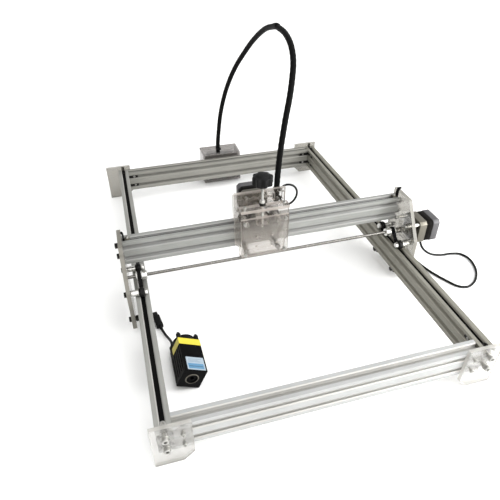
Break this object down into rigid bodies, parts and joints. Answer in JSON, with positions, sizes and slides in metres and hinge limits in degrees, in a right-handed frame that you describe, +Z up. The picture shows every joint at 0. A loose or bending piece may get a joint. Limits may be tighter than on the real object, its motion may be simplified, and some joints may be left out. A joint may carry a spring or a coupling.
{
  "type": "laser engraver",
  "caption": "Desktop gantry laser engraver: slotted aluminium frame on clear end plates, belt-driven beam and carriage, hand-set height plate, cable harness and loose laser head",
  "frame": {"origin": "centre of the footprint's bounding box on the surface the four end plates stand on, measured without the cables", "axes": "+X to the user's right along the gantry beam, +Y away from the user along the side rails, +Z up"},
  "size_m": [0.6261, 0.7033, 0.3831],
  "materials": {
    "extrusion": "clear anodised, drawn along its length",
    "clear_acrylic": "laser-cut clear sheet with frosted edges",
    "belt_rubber": "matt toothed belt",
    "smoked_acrylic": "smoked clear sheet",
    "circuit_board": "solder mask with components",
    "harness_sleeve": "braided and spiral sleeve",
    "cable_jacket": "smooth PVC jacket",
    "black_plastic": "moulded, lightly textured",
    "wheel_polymer": "turned acetal",
    "steel_hardware": "bright zinc and ground steel",
    "pulley_metal": "turned",
    "motor_body": "black laminations between cast end caps",
    "black_anodised": "black anodised"
  },
  "bodies": {
    "frame": {"left_rail": "extrusion", "right_rail": "extrusion", "front_beam": "extrusion", "rear_beam": "extrusion", "foot_plate_front_left": "clear_acrylic", "foot_plate_front_right": "clear_acrylic", "foot_plate_rear_left": "clear_acrylic", "foot_plate_rear_right": "clear_acrylic", "belt_run_left": "belt_rubber", "belt_run_right": "belt_rubber", "controller_case": "smoked_acrylic", "controller_board": "circuit_board", "harness_rear": "harness_sleeve"},
    "gantry": {"gantry_beam": "extrusion", "gantry_plate_left": "clear_acrylic", "gantry_plate_right": "clear_acrylic", "belt_loop_left": "belt_rubber", "belt_loop_right": "belt_rubber", "belt_run_gantry": "belt_rubber", "y_motor": "motor_body", "harness_front": "harness_sleeve", "y_motor_cable": "cable_jacket", "axle_left_front_upper": "steel_hardware", "axle_left_front_lower": "steel_hardware", "axle_left_rear_upper": "steel_hardware", "axle_left_rear_lower": "steel_hardware", "axle_right_front_upper": "steel_hardware", "axle_right_front_lower": "steel_hardware", "axle_right_rear_upper": "steel_hardware", "axle_right_rear_lower": "steel_hardware"},
    "cross_shaft": {"drive_shaft": "steel_hardware", "pulley_left": "pulley_metal", "pulley_right": "pulley_metal"},
    "carriage": {"carriage_plate_front": "clear_acrylic", "carriage_plate_back": "clear_acrylic", "screw_shelf": "clear_acrylic", "x_motor": "motor_body", "belt_loop_carriage": "belt_rubber", "x_motor_cable": "cable_jacket"},
    "x_drive": {"x_pulley": "pulley_metal"},
    "height_plate": {"laser_mount_plate": "clear_acrylic"},
    "knob": {"height_knob": "black_plastic"},
    "laser": {"laser_body": "black_anodised", "laser_fan_frame": "black_plastic", "laser_plug": "black_plastic", "laser_lead": "cable_jacket"},
    "lens_ring": {"laser_lens_ring": "black_anodised"},
    "fan": {"laser_fan_rotor": "black_plastic"},
    "wheel_left_front_upper_body": {"wheel_left_front_upper": "wheel_polymer"},
    "wheel_left_front_lower_body": {"wheel_left_front_lower": "wheel_polymer"},
    "wheel_left_rear_upper_body": {"wheel_left_rear_upper": "wheel_polymer"},
    "wheel_left_rear_lower_body": {"wheel_left_rear_lower": "wheel_polymer"},
    "wheel_right_front_upper_body": {"wheel_right_front_upper": "wheel_polymer"},
    "wheel_right_front_lower_body": {"wheel_right_front_lower": "wheel_polymer"},
    "wheel_right_rear_upper_body": {"wheel_right_rear_upper": "wheel_polymer"},
    "wheel_right_rear_lower_body": {"wheel_right_rear_lower": "wheel_polymer"},
    "carriage_wheel_left_upper_body": {"carriage_wheel_left_upper": "wheel_polymer"},
    "carriage_wheel_left_lower_body": {"carriage_wheel_left_lower": "wheel_polymer"},
    "carriage_wheel_right_upper_body": {"carriage_wheel_right_upper": "wheel_polymer"},
    "carriage_wheel_right_lower_body": {"carriage_wheel_right_lower": "wheel_polymer"}
  },
  "joints": [
    {"name": "gantry_travel", "type": "slide", "parent": "frame", "child": "gantry", "axis": [0, 1, 0], "range_m": [-0.2, 0.3], "deforming": ["harness_rear", "harness_front", "y_motor_cable"]},
    {"name": "carriage_travel", "type": "slide", "parent": "gantry", "child": "carriage", "axis": [1, 0, 0], "range_m": [-0.145, 0.175], "deforming": ["harness_rear", "harness_front"]},
    {"name": "height_travel", "type": "slide", "parent": "carriage", "child": "height_plate", "axis": [0, 0, 1], "range_m": [-0.0095, 0.01]},
    {"name": "knob_turn", "type": "hinge", "parent": "height_plate", "child": "knob", "pos_m": [-0.038, -0.07995, 0.212], "axis": [0, 0, 1], "continuous": true},
    {"name": "shaft_turn", "type": "hinge", "parent": "gantry", "child": "cross_shaft", "pos_m": [-0.0195, -0.08095, 0.077], "axis": [1, 0, 0], "continuous": true},
    {"name": "x_pulley_turn", "type": "hinge", "parent": "carriage", "child": "x_drive", "pos_m": [-0.036, -0.05395, 0.143], "axis": [0, 1, 0], "continuous": true},
    {"name": "laser_pick_up", "type": "slide", "parent": "frame", "child": "laser", "axis": [0, 0, 1], "range_m": [0, 0.015]},
    {"name": "lens_ring_turn", "type": "hinge", "parent": "laser", "child": "lens_ring", "pos_m": [-0.18783, -0.25175, 0.02227], "axis": [0, 1, 0], "range_deg": [-170, 170]},
    {"name": "fan_turn", "type": "hinge", "parent": "laser", "child": "fan", "pos_m": [-0.18783, -0.18775, 0.02227], "axis": [0, 1, 0], "continuous": true},
    {"name": "wheel_left_front_upper_spin", "type": "hinge", "parent": "gantry", "child": "wheel_left_front_upper_body", "pos_m": [-0.2345, -0.11095, 0.0693], "axis": [1, 0, 0], "continuous": true},
    {"name": "wheel_left_front_lower_spin", "type": "hinge", "parent": "gantry", "child": "wheel_left_front_lower_body", "pos_m": [-0.2345, -0.11095, 0.0187], "axis": [1, 0, 0], "continuous": true},
    {"name": "wheel_left_rear_upper_spin", "type": "hinge", "parent": "gantry", "child": "wheel_left_rear_upper_body", "pos_m": [-0.2345, -0.05095, 0.0693], "axis": [1, 0, 0], "continuous": true},
    {"name": "wheel_left_rear_lower_spin", "type": "hinge", "parent": "gantry", "child": "wheel_left_rear_lower_body", "pos_m": [-0.2345, -0.05095, 0.0187], "axis": [1, 0, 0], "continuous": true},
    {"name": "wheel_right_front_upper_spin", "type": "hinge", "parent": "gantry", "child": "wheel_right_front_upper_body", "pos_m": [0.1955, -0.11095, 0.0693], "axis": [1, 0, 0], "continuous": true},
    {"name": "wheel_right_front_lower_spin", "type": "hinge", "parent": "gantry", "child": "wheel_right_front_lower_body", "pos_m": [0.1955, -0.11095, 0.0187], "axis": [1, 0, 0], "continuous": true},
    {"name": "wheel_right_rear_upper_spin", "type": "hinge", "parent": "gantry", "child": "wheel_right_rear_upper_body", "pos_m": [0.1955, -0.05095, 0.0693], "axis": [1, 0, 0], "continuous": true},
    {"name": "wheel_right_rear_lower_spin", "type": "hinge", "parent": "gantry", "child": "wheel_right_rear_lower_body", "pos_m": [0.1955, -0.05095, 0.0187], "axis": [1, 0, 0], "continuous": true},
    {"name": "carriage_wheel_left_upper_spin", "type": "hinge", "parent": "carriage", "child": "carriage_wheel_left_upper_body", "pos_m": [-0.062, -0.05395, 0.1353], "axis": [0, 1, 0], "continuous": true},
    {"name": "carriage_wheel_left_lower_spin", "type": "hinge", "parent": "carriage", "child": "carriage_wheel_left_lower_body", "pos_m": [-0.062, -0.05395, 0.0847], "axis": [0, 1, 0], "continuous": true},
    {"name": "carriage_wheel_right_upper_spin", "type": "hinge", "parent": "carriage", "child": "carriage_wheel_right_upper_body", "pos_m": [-0.01, -0.05395, 0.1353], "axis": [0, 1, 0], "continuous": true},
    {"name": "carriage_wheel_right_lower_spin", "type": "hinge", "parent": "carriage", "child": "carriage_wheel_right_lower_body", "pos_m": [-0.01, -0.05395, 0.0847], "axis": [0, 1, 0], "continuous": true}
  ],
  "couplings": [
    {"joint": "knob_turn", "follows": "height_travel", "rad_per_m": 8976},
    {"joint": "shaft_turn", "follows": "gantry_travel", "rad_per_m": 140.84},
    {"joint": "x_pulley_turn", "follows": "carriage_travel", "rad_per_m": -140.84},
    {"joint": "wheel_left_front_upper_spin", "follows": "gantry_travel", "rad_per_m": -158.73},
    {"joint": "wheel_left_front_lower_spin", "follows": "gantry_travel", "rad_per_m": 158.73},
    {"joint": "wheel_left_rear_upper_spin", "follows": "gantry_travel", "rad_per_m": -158.73},
    {"joint": "wheel_left_rear_lower_spin", "follows": "gantry_travel", "rad_per_m": 158.73},
    {"joint": "wheel_right_front_upper_spin", "follows": "gantry_travel", "rad_per_m": -158.73},
    {"joint": "wheel_right_front_lower_spin", "follows": "gantry_travel", "rad_per_m": 158.73},
    {"joint": "wheel_right_rear_upper_spin", "follows": "gantry_travel", "rad_per_m": -158.73},
    {"joint": "wheel_right_rear_lower_spin", "follows": "gantry_travel", "rad_per_m": 158.73},
    {"joint": "carriage_wheel_left_upper_spin", "follows": "carriage_travel", "rad_per_m": 158.73},
    {"joint": "carriage_wheel_left_lower_spin", "follows": "carriage_travel", "rad_per_m": -158.73},
    {"joint": "carriage_wheel_right_upper_spin", "follows": "carriage_travel", "rad_per_m": 158.73},
    {"joint": "carriage_wheel_right_lower_spin", "follows": "carriage_travel", "rad_per_m": -158.73}
  ]
}
